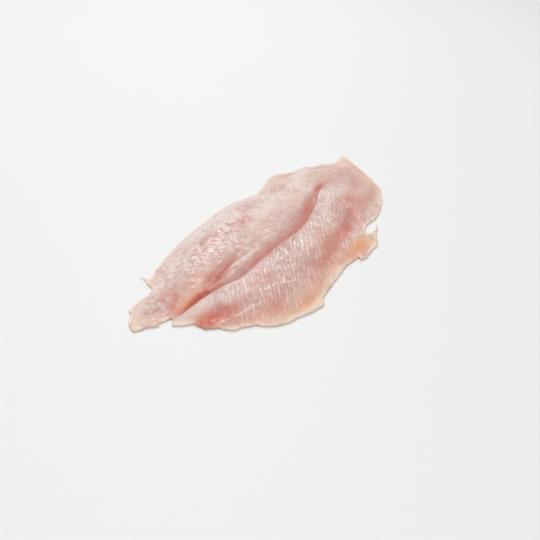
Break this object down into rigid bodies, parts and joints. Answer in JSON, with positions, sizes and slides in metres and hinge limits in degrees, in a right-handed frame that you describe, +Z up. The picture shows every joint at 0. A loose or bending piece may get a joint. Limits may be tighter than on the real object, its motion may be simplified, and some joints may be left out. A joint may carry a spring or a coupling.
{
  "type": "raw turkey escalope",
  "caption": "Raw turkey escalope: one thin leaf-shaped slice of pale pink breast meat with a lengthwise seam, lying flat.",
  "frame": {"origin": "bottom centre of the slice's box, on the surface it lies on", "axes": "+X along the slice, from the torn tail towards the straight cut end; +Y towards the smooth far lobe; +Z up, through the thickness"},
  "size_m": [0.264, 0.1078, 0.0104],
  "materials": {
    "raw_meat": "wet"
  },
  "bodies": {
    "root": {"escalope": "raw_meat"}
  },
  "joints": []
}
